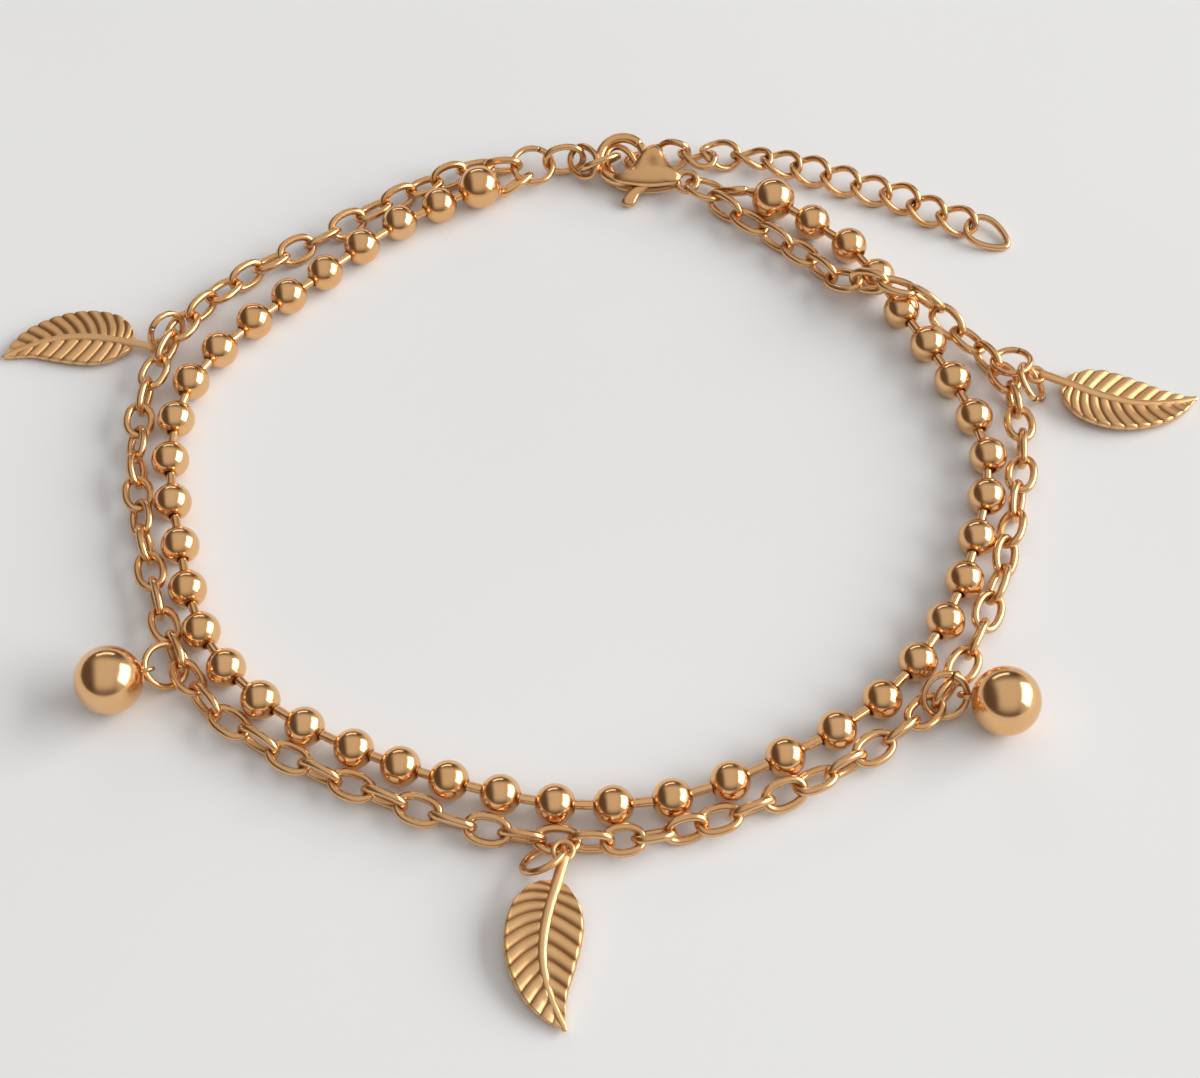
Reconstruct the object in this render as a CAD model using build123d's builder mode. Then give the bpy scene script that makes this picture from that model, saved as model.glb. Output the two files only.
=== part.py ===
"""Charm anklet: a string of balls and an oval-link cable chain on one lobster clasp.

The anklet lies open on a surface (z = 0), with the clasp at the back (+Y) and a leaf
charm at the front (-Y). Three leaves and two balls hang on the cable chain, and a
twisted-link extender runs from the left strand ends through the clasp's hook.
All sizes are millimetres, all angles degrees.
"""
import os
from math import cos, radians, sin

from build123d import *

os.makedirs("parts", exist_ok=True)

# ---------------------------------------------------------------- driving sizes
BALL = 3.5                # ball of the ball string
END_BALL = 4.26           # larger ball at each end of the string
PIN = 0.85                # pins that join the balls
PIN_SEAT = 0.25           # how deep a pin goes into a ball
RUN_GAP = 0.05            # play between one joined run and the next

CABLE_WIRE = 0.65         # cable chain, oval links
CABLE_WIDTH = 2.95
LINK_PRESS = 0.1          # how far touching links of a joined run press together

EXTENDER_WIRE = 0.55      # extender chain
EXTENDER_LENGTH = 4.4
EXTENDER_WIDTH = 3.3
EXTENDER_TWIST = 42       # how far each end of a curb link is turned
CURVE_SPANS = 8           # spans of the spline along half of a formed link
NUDGE = 0.01              # small angle for the way a formed link points at its two joints

LOOP_LENGTH = 4.2         # loop on each end ball
LOOP_WIDTH = 2.2
LOOP_WIRE = 0.5
NECK = (0.95, 0.4)        # its neck's radius in the ball and at the loop
NECK_SEAT = 0.6           # share of the way to the loop at which the neck starts, inside the ball

CHARM_BALL = 6.0
LEAF_THICK = 0.8
LEAF_EYE = 2.1            # outside of the leaf's eye
LEAF_EYE_WIRE = 0.45
LEAF_VEIN = 0.48          # radius of the stem and middle vein

HOOK_RADIUS = 2.28        # clasp hook, to the middle of its wire
HOOK_WIRE = 0.95
HOOK_CENTRE = (-0.15, 0.45)
HOOK_TIP = 60             # where the hook's tip ends, round its centre
CLASP_THICK = 1.8
CLASP_ROUND = 0.5         # rounding of the cheeks' edges
SLOT = 0.9                # slot between the clasp's cheeks
LEVER_THICK = 0.82
PIVOT = (3.2, 0.5)        # lever's pin, in the clasp's own plane
PIVOT_RADIUS = 0.45
PIVOT_PLAY = 0.05
CLASP_EYE = (6.75, -0.95)
CLASP_EYE_RADIUS = 1.0
CLASP_EYE_WIRE = 0.62

# Clasp outlines in its own plane, X to the eye, Y to the back.
CLASP_BACK = [
    (-0.6, -1.6),
    (0.2, -1.1),
    (1.0, -0.4),
    (1.3, 0.4),
    (1.6, 1.2),
    (2.2, 2.1),
    (2.9, 2.4),
    (4.2, 1.6),
    (5.0, 0.9),
    (5.8, 0.1),
]
CLASP_FRONT = [(5.8, -1.7), (4.8, -1.9), (3.5, -2.2), (1.0, -2.35), (-0.1, -2.15), (-0.6, -1.6)]
SLOT_OUTLINE = [
    (1.2, -3.2),
    (1.6, -1.2),
    (1.0, -0.6),
    (-0.5, -0.4),
    (-0.5, 3.2),
    (3.2, 3.2),
    (4.6, 1.4),
    (4.9, -0.6),
    (4.9, -3.2),
]
HOOK_SWEEP = 230          # how far the hook goes round from its tip
GATE = (1.85, 2.6)        # inner and outer radius of the gate round the hook's centre
GATE_ENDS = (3, 44)       # the angles at which it starts and ends
LEVER_BOSS = 0.85         # radius of the lever round its pin
LEVER_TAB = [
    (2.55, 0.2),
    (2.5, -0.6),
    (2.15, -1.7),
    (1.3, -2.7),
    (0.85, -3.6),
    (1.4, -4.2),
    (2.2, -3.95),
    (2.45, -3.0),
    (3.1, -2.1),
    (3.6, -1.0),
    (3.85, 0.2),
]

# Leaf outline in its own plane, from its eye along X to its tip.
LEAF_UPPER = [
    (2.6, -0.75),
    (3.4, 0.55),
    (4.6, 1.25),
    (6.2, 1.65),
    (8.0, 1.45),
    (10.0, 0.95),
    (12.6, 0.05),
    (13.8, 0.1),
    (15.1, 0.1),
]
LEAF_LOWER = [
    (15.1, 0.1),
    (14.4, -1.4),
    (13.0, -3.0),
    (11.0, -4.25),
    (9.0, -4.85),
    (7.0, -4.95),
    (5.2, -4.6),
    (4.0, -3.9),
    (3.0, -2.6),
    (2.6, -0.75),
]
LEAF_VEIN_LINE = [
    (0.9, 0.0),
    (3.0, -0.6),
    (5.0, -1.2),
    (7.0, -1.6),
    (9.0, -1.75),
    (11.0, -1.5),
    (13.0, -0.9),
    (14.7, 0.0),
]
CHARM_EYE = (1.8, 0.4)    # small eye on a ball charm: outside width and wire

# ---------------------------------------------------------------- routes
# Every second ball of the string: x, y. The balls between lie on the curve.
BALL_ROWS = [
    (-10.65, 41.35),
    (-18.6, 37.3),
    (-25.8, 31.1),
    (-32.4, 25.2),
    (-38.0, 18.0),
    (-39.3, 8.8),
    (-37.7, -0.9),
    (-35.2, -10.2),
    (-29.6, -17.5),
    (-21.4, -22.7),
    (-13.3, -26.1),
    (-4.4, -28.7),
    (5.4, -28.6),
    (15.1, -25.0),
    (23.8, -19.7),
    (30.1, -12.0),
    (33.9, -3.3),
    (36.0, 5.8),
    (33.8, 14.9),
    (29.9, 23.6),
    (25.6, 32.1),
    (18.6, 38.3),
]
BALL_RUNS = [(1, 7), (8, 14), (15, 21), (22, 28), (29, 35), (36, 41)]

# Cable chain: link number, x, y, height and roll. The links between lie on the
# curve, and every other link is turned a quarter turn more.
CABLE_ROWS = [
    (0, -8.3, 44.8, 1.5, -105),
    (1, -11.1, 44.85, 1.35, -65),
    (4, -18.8, 40.95, 1.4, -75),
    (7, -26.3, 36.1, 1.25, -42),
    (10, -33.5, 31.3, 1.45, -70),
    (13, -39.2, 24.6, 2.1, -85),
    (16, -42.3, 16.5, 1.6, -90),
    (19, -42.4, 8.05, 1.45, -160),
    (22, -40.9, -0.5, 1.5, -255),
    (25, -38.5, -9.3, 1.5, -285),
    (28, -34.4, -17.3, 1.5, -285),
    (31, -26.9, -23.2, 1.5, -270),
    (34, -18.7, -27.4, 1.5, -265),
    (37, -10.1, -30.7, 1.4, -245),
    (40, -1.5, -32.2, 1.5, -275),
    (43, 6.4, -31.3, 1.4, -205),
    (46, 14.8, -28.4, 1.4, -140),
    (49, 22.7, -24.3, 1.4, -70),
    (52, 29.4, -18.9, 1.5, -90),
    (55, 34.0, -11.0, 1.45, -70),
    (58, 37.2, -2.1, 1.35, -35),
    (61, 39.3, 6.7, 1.5, 0),
    (64, 38.7, 15.1, 1.5, 5),
    (67, 34.1, 22.0, 1.7, 35),
    (68, 32.2, 23.8, 3.1, 70),
    (69, 29.45, 24.8, 3.9, 112),
    (70, 26.9, 25.95, 3.45, 100),
    (71, 24.6, 27.3, 2.1, 85),
    (73, 20.8, 31.7, 1.45, 93),
    (76, 13.75, 38.1, 1.5, 105),
]
CABLE_RUNS = [(0, 12), (13, 25), (26, 38), (39, 50), (51, 64), (65, 76)]

# ---------------------------------------------------------------- single pieces
# Each place is x, y, z of the middle, then heading, pitch and roll.
CLASP_PLACE = (3.84, 43.94, 2.1, -14, 0, 22)
LEFT_LOOP_PLACE = (-6.94, 42.45, 1.25, 35, 8, -41)
RIGHT_LOOP_PLACE = (14.46, 40.15, 1.44, 156, -26, 53)

# Round rings: name, outside width, wire and place.
RINGS = [
    ("strand_ring", 4.65, 0.55, (-5.27, 44.66, 1.53, 0, -4, 12)),
    ("clasp_ring", 4.5, 0.55, (11.99, 40.42, 1.6, -63, 12, -23)),
    ("ball_ring_left", 4.4, 0.5, (-38.12, -13.44, 1.41, 11, -24, 28)),
    ("ball_ring_right", 4.5, 0.5, (29.16, -19.77, 2.07, 6, -5, 47)),
    ("leaf_ring_left", 4.2, 0.5, (-40.72, 24.09, 2.07, 66, 60, 63)),
    ("leaf_ring_front", 4.4, 0.5, (-5.46, -33.76, 1.76, 112, -42, -9)),
    ("leaf_ring_right_1", 4.1, 0.5, (39.48, 16.33, 2.32, -10, 7, -11)),
    ("leaf_ring_right_2", 4.3, 0.5, (41.09, 14.03, 1.91, -151, 47, -21)),
]

# Leaves hang by their eye, whose place points along the leaf to its tip.
LEAVES = [
    ("leaf_left", (-41.5, 23.15, 0.85, 181, -1.3, 0)),
    ("leaf_front", (-3.8, -33.3, 2.15, -91, -6.2, 0)),
    ("leaf_right", (41.75, 15.6, 1.15, -12, -2.4, 0)),
]
BALL_CHARMS = [
    ("ball_left", (-42.6, -15.7, 3.0), "ball_ring_left"),
    ("ball_right", (34.1, -21.05, 3.0), "ball_ring_right"),
]

# Extender: flat links from the strand ring through the hook, then twisted ones.
FLAT_LINKS = [
    (-2.06, 45.17, 1.7, 6, 1, 71),
    (-0.11, 44.52, 1.94, -58, 4, 40),
    (1.58, 44.21, 2.05, 21, 3, -56),
    (3.72, 44.79, 1.11, -62, -25, -1),
    (6.05, 45.66, 0.71, 12, -1, -18),
]
TWISTED_LINKS = [
    (8.64, 45.62, 1.2, 7, 22, 42),
    (11.39, 44.99, 1.39, -31, 11, -27),
    (13.8, 45.52, 1.25, -12, -8, 18),
    (16.92, 44.88, 1.31, -12, -1, -21),
    (19.86, 44.02, 1.23, -20, -1, 3),
    (22.77, 42.86, 1.17, -24, 0, 24),
    (25.67, 41.41, 1.14, -26, 0, 22),
    (28.58, 39.99, 1.13, -26, 0, 22),
    (31.35, 38.78, 1.15, -27, 0, 22),
    (33.84, 37.02, 1.13, -32, 0, 22),
    (36.66, 35.57, 1.08, -27, -1, 18),
]
END_LINK_PLACE = (39.59, 33.93, 0.68, -37, -8, 3)
END_LINK = (5.0, 3.6)     # its length and its greatest width
END_LINK_TAPER = 0.35     # how much narrower the outer end of the last link is


# ---------------------------------------------------------------- helpers
def plane_at(place):
    """Plane at a place: X along the heading and pitch, Y turned up from the left side by the roll."""
    x, y, z, heading, pitch, roll = place
    flat = cos(radians(pitch))
    along = Vector(cos(radians(heading)) * flat, sin(radians(heading)) * flat, sin(radians(pitch)))
    side = Vector(0, 0, 1).cross(along).normalized()
    up = along.cross(side)
    across = side * cos(radians(roll)) + up * sin(radians(roll))
    return Plane(origin=(x, y, z), x_dir=along, z_dir=along.cross(across))


def on_curve(rows, number):
    """Point of the smooth curve through the rows; the first column numbers the rows."""
    last = len(rows) - 1
    row = max(index for index in range(last) if rows[index][0] <= number)
    span = rows[row + 1][0] - rows[row][0]
    f = (number - rows[row][0]) / span
    point = []
    for column in range(1, len(rows[0])):
        slopes = []
        for at in (row, row + 1):
            before = rows[max(at - 1, 0)]
            after = rows[min(at + 1, last)]
            slopes.append(span * (after[column] - before[column]) / (after[0] - before[0]))
        start = rows[row][column]
        rise = rows[row + 1][column] - start
        curl = slopes[0] + slopes[1] - 2 * rise
        point.append(start + slopes[0] * f + (rise - slopes[0] - curl) * f ** 2 + curl * f ** 3)
    return point


def oval_link(length, width, wire):
    """Wire bent into an oval with straight sides, flat in XY about the origin, its length along X."""
    radius = (width - wire) / 2
    half = (length - width) / 2
    with BuildPart() as made:
        with BuildLine() as path:
            lower = Line((-half, -radius), (half, -radius))
            outer = JernArc(lower @ 1, lower % 1, radius, 180)
            upper = Line(outer @ 1, (-half, radius))
            JernArc(upper @ 1, upper % 1, radius, 180)
        with BuildSketch(Plane(origin=lower @ 0.5, z_dir=lower % 0.5)):
            Circle(wire / 2)
        sweep()
    return made.part


def round_ring(width, wire):
    """Round wire ring in XY about the origin."""
    with BuildPart() as made:
        Torus((width - wire) / 2, wire / 2)
    return made.part


def formed_link(curve, wire):
    """Wire bent along a closed curve, a function of the angle round it, swept in two halves."""
    with BuildPart() as made:
        for start in (-90, 90):
            angles = [start + 180 / CURVE_SPANS * step for step in range(CURVE_SPANS + 1)]
            ends = [Vector(*curve(a + NUDGE)) - Vector(*curve(a - NUDGE)) for a in (start, start + 180)]
            with BuildLine() as path:
                Spline(*[curve(a) for a in angles], tangents=ends)
            with BuildSketch(Plane(origin=path.line @ 0, z_dir=path.line % 0)):
                Circle(wire / 2)
            sweep()
    return made.part


def twisted_curve(angle):
    """Oval whose two ends are turned opposite ways round its length."""
    x = (EXTENDER_LENGTH - EXTENDER_WIRE) / 2 * cos(radians(angle))
    y = (EXTENDER_WIDTH - EXTENDER_WIRE) / 2 * sin(radians(angle))
    turn = radians(EXTENDER_TWIST) * cos(radians(angle))
    return (x, y * cos(turn), y * sin(turn))


def pear_curve(angle):
    """Oval that is narrower at its outer end."""
    x = (END_LINK[0] - EXTENDER_WIRE) / 2 * cos(radians(angle))
    y = (END_LINK[1] - EXTENDER_WIRE) / 2 * sin(radians(angle))
    return (x, y * (1 - END_LINK_TAPER * cos(radians(angle))), 0)


def rod(start, end, radius):
    """Round rod from one point to another."""
    way = Vector(*end) - Vector(*start)
    with BuildPart() as made:
        with BuildSketch(Plane(origin=start, z_dir=way)):
            Circle(radius)
        extrude(amount=way.length)
    return made.part


def write(made, name):
    """Label a finished piece and write it to its own file."""
    made.part.label = name
    export_step(made.part, f"parts/{name}.step")


# ---------------------------------------------------------------- ball string
def ball_middle(number):
    """Middle of one ball of the string; the two end balls are larger and sit higher."""
    rows = [(2 * row, *BALL_ROWS[row]) for row in range(len(BALL_ROWS))]
    x, y = on_curve(rows, number)
    return Vector(x, y, ball_width(number) / 2)


def ball_width(number):
    """Width of one ball of the string."""
    return END_BALL if number in (0, LAST_BALL) else BALL


def ball_plane(number, towards):
    """Plane at a ball that points to the floor and to the side, away from its pins."""
    middle = ball_middle(number)
    way = ball_middle(towards) - middle
    return Plane(origin=middle, x_dir=(0, 0, -1), z_dir=(way.Y, -way.X, 0))


def pin(number, towards, share):
    """Pin from just inside a ball, over a share of the way to its neighbour's middle."""
    start = ball_middle(number)
    way = ball_middle(towards) - start
    seat = (ball_width(number) / 2 - PIN_SEAT) / way.length
    return rod(start + way * seat, start + way * share, PIN / 2)


def whole_pin(number):
    """Pin between a ball and the next one."""
    way = (ball_middle(number + 1) - ball_middle(number)).length
    return pin(number, number + 1, 1 - (BALL / 2 - PIN_SEAT) / way)


def half_pin(number, towards):
    """Pin from a ball half-way to its neighbour, less half of the play between runs."""
    way = (ball_middle(towards) - ball_middle(number)).length
    return pin(number, towards, 0.5 - RUN_GAP / 2 / way)


LAST_BALL = 2 * (len(BALL_ROWS) - 1)
for run, (first, last) in enumerate(BALL_RUNS, 1):
    with BuildPart() as ball_run:
        for number in range(first, last + 1):
            with Locations(ball_plane(number, number - 1)):
                Sphere(BALL / 2)
        for number in range(first, last):
            add(whole_pin(number))
        add(half_pin(first, first - 1))
        add(half_pin(last, last + 1))
    write(ball_run, f"ball_run_{run}")

for name, number, neighbour, place in [
    ("ball_end_left", 0, 1, LEFT_LOOP_PLACE),
    ("ball_end_right", LAST_BALL, LAST_BALL - 1, RIGHT_LOOP_PLACE),
]:
    loop_plane = plane_at(place)
    loop_start = loop_plane.from_local_coords(Vector(-LOOP_LENGTH / 2 + LOOP_WIRE / 2, 0, 0))
    with BuildPart() as ball_end:
        with Locations(ball_plane(number, neighbour)):
            Sphere(END_BALL / 2)
        add(half_pin(number, neighbour))
        way = loop_start - ball_middle(number)
        with BuildSketch(Plane(origin=ball_middle(number) + way * NECK_SEAT, z_dir=way)):
            Circle(NECK[0])
        with BuildSketch(Plane(origin=loop_start, z_dir=way)):
            Circle(NECK[1])
        loft()
        with Locations(loop_plane):
            add(oval_link(LOOP_LENGTH, LOOP_WIDTH, LOOP_WIRE))
    write(ball_end, name)


# ---------------------------------------------------------------- cable chain
def link_middle(number):
    """Middle of one cable link."""
    return Vector(*on_curve(CABLE_ROWS, number)[:3])


def cable_link(number, longer):
    """One cable link where it lies; a longer one reaches back, so that it clears the link before."""
    before = max(number - 1, 0)
    after = min(number + 1, LAST_LINK)
    span = link_middle(after) - link_middle(before)
    chords = (link_middle(after) - link_middle(number)).length + (link_middle(number) - link_middle(before)).length
    pitch = chords / (after - before)
    along = span.normalized()
    side = Vector(0, 0, 1).cross(along).normalized()
    up = along.cross(side)
    roll = radians(on_curve(CABLE_ROWS, number)[3] - 90 * (number % 2))
    across = side * cos(roll) + up * sin(roll)
    middle = link_middle(number) - along * longer / 2
    with BuildPart() as made:
        with Locations(Plane(origin=middle, x_dir=along, z_dir=along.cross(across))):
            add(oval_link(pitch + 2 * CABLE_WIRE - LINK_PRESS + longer, CABLE_WIDTH, CABLE_WIRE))
    return made.part


LAST_LINK = CABLE_ROWS[-1][0]
for run, (first, last) in enumerate(CABLE_RUNS, 1):
    with BuildPart() as cable_run:
        for number in range(first, last + 1):
            longer = LINK_PRESS + RUN_GAP if number == first and run > 1 else 0
            add(cable_link(number, longer))
    write(cable_run, f"cable_run_{run}")

# ---------------------------------------------------------------- rings
ring_planes = {}
for name, width, wire, place in RINGS:
    ring_planes[name] = plane_at(place)
    with BuildPart() as ring:
        with Locations(ring_planes[name]):
            add(round_ring(width, wire))
    write(ring, name)

# ---------------------------------------------------------------- extender chain
flat_link = oval_link(EXTENDER_LENGTH, EXTENDER_WIDTH, EXTENDER_WIRE)
twisted_link = formed_link(twisted_curve, EXTENDER_WIRE)
extender = [(flat_link, place) for place in FLAT_LINKS]
extender += [(twisted_link, place) for place in TWISTED_LINKS]
for number, (shape, place) in enumerate(extender, 1):
    with BuildPart() as extender_link:
        with Locations(plane_at(place)):
            add(shape)
    write(extender_link, f"extender_link_{number:02d}")

with BuildPart() as end_link:
    with Locations(plane_at(END_LINK_PLACE)):
        add(formed_link(pear_curve, EXTENDER_WIRE))
write(end_link, "end_link")

# ---------------------------------------------------------------- lobster clasp
clasp_plane = plane_at(CLASP_PLACE)

with BuildPart() as clasp_body:
    with BuildSketch(clasp_plane):
        with BuildLine():
            Spline(*CLASP_BACK)
            Line(CLASP_BACK[-1], CLASP_FRONT[0])
            Spline(*CLASP_FRONT)
        make_face()
    extrude(amount=CLASP_THICK / 2, both=True)
    cheeks = clasp_body.faces().filter_by(clasp_plane)
    fillet(cheeks.edges(), radius=CLASP_ROUND)
    with BuildSketch(clasp_plane):
        Polygon(*SLOT_OUTLINE, align=None)
    extrude(amount=SLOT / 2, both=True, mode=Mode.SUBTRACT)
    with BuildLine(clasp_plane) as hook_path:
        CenterArc(HOOK_CENTRE, HOOK_RADIUS, HOOK_TIP, HOOK_SWEEP)
    with BuildSketch(Plane(origin=hook_path.line @ 0, z_dir=hook_path.line % 0)):
        Circle(HOOK_WIRE / 2)
    sweep()
    with Locations(hook_path.line @ 0):
        Sphere(HOOK_WIRE / 2)
    with Locations(Plane(origin=clasp_plane.from_local_coords(Vector(*CLASP_EYE)), z_dir=clasp_plane.z_dir)):
        Torus(CLASP_EYE_RADIUS, CLASP_EYE_WIRE / 2)
    with BuildSketch(clasp_plane):
        with Locations(PIVOT):
            Circle(PIVOT_RADIUS)
    extrude(amount=CLASP_THICK, both=True, mode=Mode.SUBTRACT)
write(clasp_body, "clasp_body")

with BuildPart() as clasp_lever:
    with BuildSketch(clasp_plane):
        with BuildLine():
            inner = CenterArc(HOOK_CENTRE, GATE[0], GATE_ENDS[0], GATE_ENDS[1] - GATE_ENDS[0])
            outer = CenterArc(HOOK_CENTRE, GATE[1], GATE_ENDS[0], GATE_ENDS[1] - GATE_ENDS[0])
            Line(inner @ 0, outer @ 0)
            Line(inner @ 1, outer @ 1)
        make_face()
        with Locations(PIVOT):
            Circle(LEVER_BOSS)
        with BuildLine():
            Spline(*LEVER_TAB)
            Line(LEVER_TAB[-1], LEVER_TAB[0])
        make_face()
        with Locations(PIVOT):
            Circle(PIVOT_RADIUS + PIVOT_PLAY, mode=Mode.SUBTRACT)
    extrude(amount=LEVER_THICK / 2, both=True)
write(clasp_lever, "clasp_lever")

with BuildPart() as clasp_pin:
    with BuildSketch(clasp_plane.offset(-CLASP_THICK / 2)):
        with Locations(PIVOT):
            Circle(PIVOT_RADIUS)
    extrude(amount=CLASP_THICK)
write(clasp_pin, "clasp_pin")

# ---------------------------------------------------------------- charms
for name, place in LEAVES:
    leaf_plane = plane_at(place)
    with BuildPart() as leaf:
        with BuildSketch(leaf_plane.offset(-LEAF_THICK / 2)):
            with BuildLine():
                Spline(*LEAF_UPPER)
                Spline(*LEAF_LOWER)
            make_face()
        extrude(amount=LEAF_THICK)
        with BuildLine(leaf_plane) as vein:
            Spline(*LEAF_VEIN_LINE)
        with BuildSketch(Plane(origin=vein.line @ 0, z_dir=vein.line % 0)):
            Circle(LEAF_VEIN)
        sweep()
        with Locations(vein.line @ 1):
            Sphere(LEAF_VEIN)
        with Locations(leaf_plane):
            add(round_ring(LEAF_EYE, LEAF_EYE_WIRE))
    write(leaf, name)

for name, middle, ring_name in BALL_CHARMS:
    ring_plane = ring_planes[ring_name]
    width, wire = next((row[1], row[2]) for row in RINGS if row[0] == ring_name)
    local = ring_plane.to_local_coords(Vector(*middle))
    towards = Vector(local.X, local.Y, 0).normalized()
    held = ring_plane.from_local_coords(towards * (width - wire) / 2)
    eye_normal = ring_plane.z_dir.cross(held - ring_plane.origin)
    with BuildPart() as charm:
        with Locations(middle):
            Sphere(CHARM_BALL / 2)
        with Locations(Plane(origin=held, z_dir=eye_normal)):
            add(round_ring(*CHARM_EYE))
    write(charm, name)
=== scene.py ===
# %% [markdown]
# # A charm anklet in rose gold
# The anklet is two strands on one clasp: a string of polished balls on short pins, and
# an oval-link cable chain that carries three leaves and two larger balls. An extender of
# twisted links hangs on through the clasp's hook. Every part of it is bent wire, a ball
# or a small casting, so nearly all of it can be made from a few formulas: a circle
# carried along a path, a profile turned round an axis, and a dome over an outline.

import bmesh
import bpy
import numpy as np
from mathutils import Matrix, Vector


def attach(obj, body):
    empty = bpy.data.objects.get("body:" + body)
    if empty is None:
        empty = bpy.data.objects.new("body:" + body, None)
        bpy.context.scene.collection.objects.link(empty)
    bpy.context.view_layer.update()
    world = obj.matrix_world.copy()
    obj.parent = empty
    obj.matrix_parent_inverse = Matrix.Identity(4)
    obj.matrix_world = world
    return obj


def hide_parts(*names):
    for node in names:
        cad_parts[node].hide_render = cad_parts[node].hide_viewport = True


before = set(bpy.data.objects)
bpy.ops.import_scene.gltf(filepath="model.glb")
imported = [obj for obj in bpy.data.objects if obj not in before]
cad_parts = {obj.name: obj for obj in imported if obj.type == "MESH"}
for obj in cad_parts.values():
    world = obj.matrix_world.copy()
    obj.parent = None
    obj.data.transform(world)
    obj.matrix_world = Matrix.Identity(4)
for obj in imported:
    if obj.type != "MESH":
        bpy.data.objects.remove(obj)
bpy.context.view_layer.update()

# %% [markdown]
# ## Camera
# The anklet lies flat and is seen from a little above its front, through a fairly long
# lens, so that the far side looks only slightly smaller. A camera is aimed most exactly
# by writing its three axes: right, up and backwards.

# %% Camera
MM = 0.001
CAMERA_AT = (0.15, -124.25, 176.77)  # in millimetres
camera_data = bpy.data.cameras.new("camera")
camera_data.lens = 71.26
camera_data.sensor_width = 36
camera_data.clip_start = 0.01
camera = bpy.data.objects.new("camera", camera_data)
bpy.context.scene.collection.objects.link(camera)
right = Vector((0.99934, -0.02980, -0.02083))
forward = Vector((0.0, 0.57295, -0.81959))
up = right.cross(forward)
turned_to = Matrix((right, up, -forward)).transposed().to_4x4()
camera.matrix_world = Matrix.Translation(Vector(CAMERA_AT) * MM) @ turned_to
bpy.context.scene.camera = camera
print("camera at", tuple(round(v, 4) for v in camera.location))

# %% [markdown]
# ## Grids
# Each surface is a grid of points, rows by columns, worked out as one numpy array. The
# next cell numbers the corners of the quads between them. A closed wire joins its last
# row to its first; a turned shape joins its last column to its first.


# %% From grids to meshes
WELD = 0.0002  # points nearer than this, in millimetres, become one


def quads_of(rows, columns, round_rows, round_columns):
    """Corner numbers of the quads of a grid, going round where it is closed."""
    row = np.arange(rows if round_rows else rows - 1)[:, None]
    column = np.arange(columns if round_columns else columns - 1)[None, :]
    next_row, next_column = (row + 1) % rows, (column + 1) % columns
    corners = (
        row * columns + column,
        row * columns + next_column,
        next_row * columns + next_column,
        next_row * columns + column,
    )
    return np.stack(corners, -1).reshape(-1, 4)


def make_piece(name, surfaces, material, nodes, body="anklet"):
    """One object from several surfaces; each is (points in mm, round rows, round columns, nook).

    The nook is a number from 0, open metal, to 1, far in a corner; it paints shade into the
    metal's colour there, and makes the metal rougher.
    """
    points, quads, nooks, count = [], [], [], 0
    for grid, round_rows, round_columns, nook in surfaces:
        rows, columns = grid.shape[:2]
        points.append(grid.reshape(-1, 3))
        quads.append(quads_of(rows, columns, round_rows, round_columns) + count)
        nooks.append(np.broadcast_to(nook, (rows, columns)).reshape(-1))
        count += rows * columns
    mesh = bpy.data.meshes.new(name)
    mesh.from_pydata(np.concatenate(points) * MM, [], np.concatenate(quads).tolist())
    mesh.attributes.new("nook", "FLOAT", "POINT").data.foreach_set(
        "value", np.concatenate(nooks).astype(np.float32)
    )
    work = bmesh.new()
    work.from_mesh(mesh)
    bmesh.ops.remove_doubles(work, verts=work.verts, dist=WELD * MM)
    bmesh.ops.recalc_face_normals(work, faces=work.faces)
    for face in work.faces:
        face.smooth = True
    work.to_mesh(mesh)
    work.free()
    piece = bpy.data.objects.new(name, mesh)
    bpy.context.scene.collection.objects.link(piece)
    mesh.materials.append(material)
    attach(piece, body)
    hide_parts(*nodes)
    print(f"{name}: {len(mesh.polygons)} faces")


# %% [markdown]
# ## Places and paths
# A link is worked out flat, about the origin, and then laid in its place. A place is
# x, y, z in millimetres, then heading, pitch and roll in degrees, as for a ship: the
# heading and pitch aim its length, and the roll turns it about that length.


# %% Places, unit vectors and ramps
TINY = 1e-12  # keeps a vector of no length from dividing by zero


def unit(vectors):
    """Vectors scaled to length one."""
    return vectors / np.maximum(np.linalg.norm(vectors, axis=-1, keepdims=True), TINY)


def ramp(values, start, end):
    """0 on the start's side, 1 on the end's, and even between; the end may be the lower."""
    return np.clip((values - start) / (end - start), 0, 1)


def axes_of(along, roll):
    """Rows along, across and normal: across is the level left side, turned up by the roll."""
    along = unit(np.asarray(along, float))
    side = unit(np.cross((0.0, 0.0, 1.0), along))
    lift = np.cross(along, side)
    across = side * np.cos(np.radians(roll)) + lift * np.sin(np.radians(roll))
    return np.stack((along, across, np.cross(along, across)))


def axes_at(place):
    """Axes of a place, from its heading, pitch and roll."""
    heading, pitch, roll = np.radians(place[3]), np.radians(place[4]), place[5]
    flat = np.cos(pitch)
    return axes_of((np.cos(heading) * flat, np.sin(heading) * flat, np.sin(pitch)), roll)


def laid(points, place):
    """Points worked out about the origin, laid in their place."""
    return np.array(place[:3]) + np.asarray(points) @ axes_at(place)


def on_curve(rows, numbers):
    """Smooth curve through rows whose first column numbers them.

    Between two rows it is a cubic whose slope at each row is the slope between its neighbours.
    """
    rows, numbers = np.array(rows, float), np.atleast_1d(np.asarray(numbers, float))
    knots, values = rows[:, 0], rows[:, 1:]
    order = np.arange(len(rows))
    before, after = np.maximum(order - 1, 0), np.minimum(order + 1, len(rows) - 1)
    slopes = (values[after] - values[before]) / (knots[after] - knots[before])[:, None]
    at = np.clip(np.searchsorted(knots, numbers, side="right") - 1, 0, len(knots) - 2)
    span = (knots[at + 1] - knots[at])[:, None]
    f = (numbers - knots[at])[:, None] / span
    rise = values[at + 1] - values[at]
    start, end = slopes[at] * span, slopes[at + 1] * span
    curl = start + end - 2 * rise
    return values[at] + start * f + (rise - start - curl) * f**2 + curl * f**3


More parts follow.
